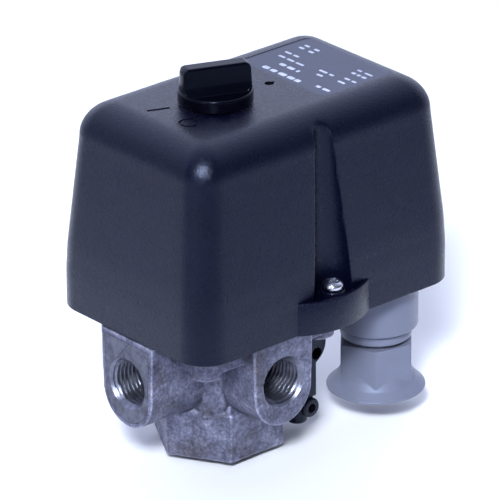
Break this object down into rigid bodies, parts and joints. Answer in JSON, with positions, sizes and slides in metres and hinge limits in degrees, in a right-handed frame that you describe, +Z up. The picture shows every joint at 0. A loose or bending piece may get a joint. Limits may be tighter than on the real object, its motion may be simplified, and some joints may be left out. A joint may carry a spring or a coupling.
{
  "type": "pressure switch",
  "caption": "Compressor pressure switch: die-cast port block, black plastic cover with I/O rotary knob, unloader valve and cable gland.",
  "frame": {"origin": "centre of the hexagonal boss's bottom face, on the axis of the pressure inlet", "axes": "+Z up along the inlet and the knob's axis; +X along the cover, towards the cable gland; -Y is the long side with the visible screw"},
  "size_m": [0.0901, 0.0674, 0.1064],
  "materials": {
    "cover": "fine grained moulded plastic, near black",
    "knob": "glossy black moulded plastic",
    "cast": "die-cast alloy, blasted skin, machined bores",
    "zinc": "bright zinc plated steel",
    "steel": "plain sheet and spring steel",
    "brass": "bright brass",
    "copper": "copper alloy with silver contacts",
    "base": "dark grey moulded plastic",
    "cream": "cream moulded insulating plastic",
    "gland": "light grey moulded plastic",
    "rubber": "black rubber",
    "valve": "black moulded plastic"
  },
  "bodies": {
    "base": {"port_flange": "cast", "base_plate": "base", "diaphragm": "rubber", "frame_bracket": "steel", "rocker_pin": "zinc", "contact_block": "cream", "earth_plate": "zinc", "earth_screw": "zinc", "gland_body": "gland", "gland_nut": "gland", "gland_seal": "rubber", "valve_body": "valve", "valve_screw": "zinc", "main_spring": "steel", "valve_spring": "steel", "flange_screw_1": "zinc", "flange_screw_2": "zinc", "flange_screw_3": "zinc", "flange_screw_4": "zinc", "terminal_plate_1": "brass", "terminal_plate_2": "brass", "terminal_plate_3": "brass", "terminal_plate_4": "brass", "terminal_screw_1": "zinc", "terminal_screw_2": "zinc", "terminal_screw_3": "zinc", "terminal_screw_4": "zinc"},
    "cover": {"cover": "cover", "cover_screw_front": "zinc", "cover_screw_rear": "zinc"},
    "knob": {"rotary_knob": "knob"},
    "off_slide": {"off_slide": "base"},
    "rocker": {"rocker": "zinc"},
    "plunger": {"pressure_plate": "steel"},
    "contact_carrier": {"contact_carrier": "base", "contact_bridge_1": "copper", "contact_bridge_2": "copper", "contact_spring_1": "steel", "contact_spring_2": "steel"},
    "valve_tappet": {"valve_tappet": "steel"},
    "spring_plate": {"spring_plate": "steel"},
    "adjusting_screw": {"adjusting_screw": "zinc"}
  },
  "joints": [
    {"name": "cover_lift", "type": "slide", "parent": "base", "child": "cover", "axis": [0, 0, 1], "range_m": [0, 0.065]},
    {"name": "knob_turn", "type": "hinge", "parent": "cover", "child": "knob", "pos_m": [0, 0, 0.1], "axis": [0, 0, 1], "range_deg": [0, 45]},
    {"name": "off_travel", "type": "slide", "parent": "base", "child": "off_slide", "axis": [1, 0, 0], "range_m": [0, 0.0062]},
    {"name": "rocker_swing", "type": "hinge", "parent": "base", "child": "rocker", "pos_m": [0.009, 0, 0.0485], "axis": [0, 1, 0], "range_deg": [0, 7], "stiffness_Nm_per_rad": 0.6, "springref_deg": -5.73, "deforming": ["main_spring"]},
    {"name": "plunger_lift", "type": "slide", "parent": "base", "child": "plunger", "axis": [0, 0, 1], "range_m": [0, 0.0012]},
    {"name": "contact_travel", "type": "slide", "parent": "base", "child": "contact_carrier", "axis": [0, 0, -1], "range_m": [0, 0.0028]},
    {"name": "tappet_travel", "type": "slide", "parent": "base", "child": "valve_tappet", "axis": [0, 0, -1], "range_m": [0, 0.0015], "deforming": ["valve_spring"]},
    {"name": "adjust_travel", "type": "slide", "parent": "base", "child": "spring_plate", "axis": [0, 0, 1], "range_m": [-0.0007, 0.0007]},
    {"name": "adjust_turn", "type": "hinge", "parent": "spring_plate", "child": "adjusting_screw", "pos_m": [-0.013, 0, 0.08], "axis": [0, 0, 1], "range_deg": [-360, 360]}
  ],
  "couplings": [
    {"joint": "knob_turn", "follows": "off_travel", "rad_per_m": 126.61},
    {"joint": "plunger_lift", "follows": "rocker_swing", "m_per_rad": 0.009},
    {"joint": "contact_travel", "follows": "rocker_swing", "m_per_rad": 0.022},
    {"joint": "tappet_travel", "follows": "rocker_swing", "m_per_rad": 0.0117},
    {"joint": "adjust_turn", "follows": "adjust_travel", "rad_per_m": 8975.9}
  ]
}
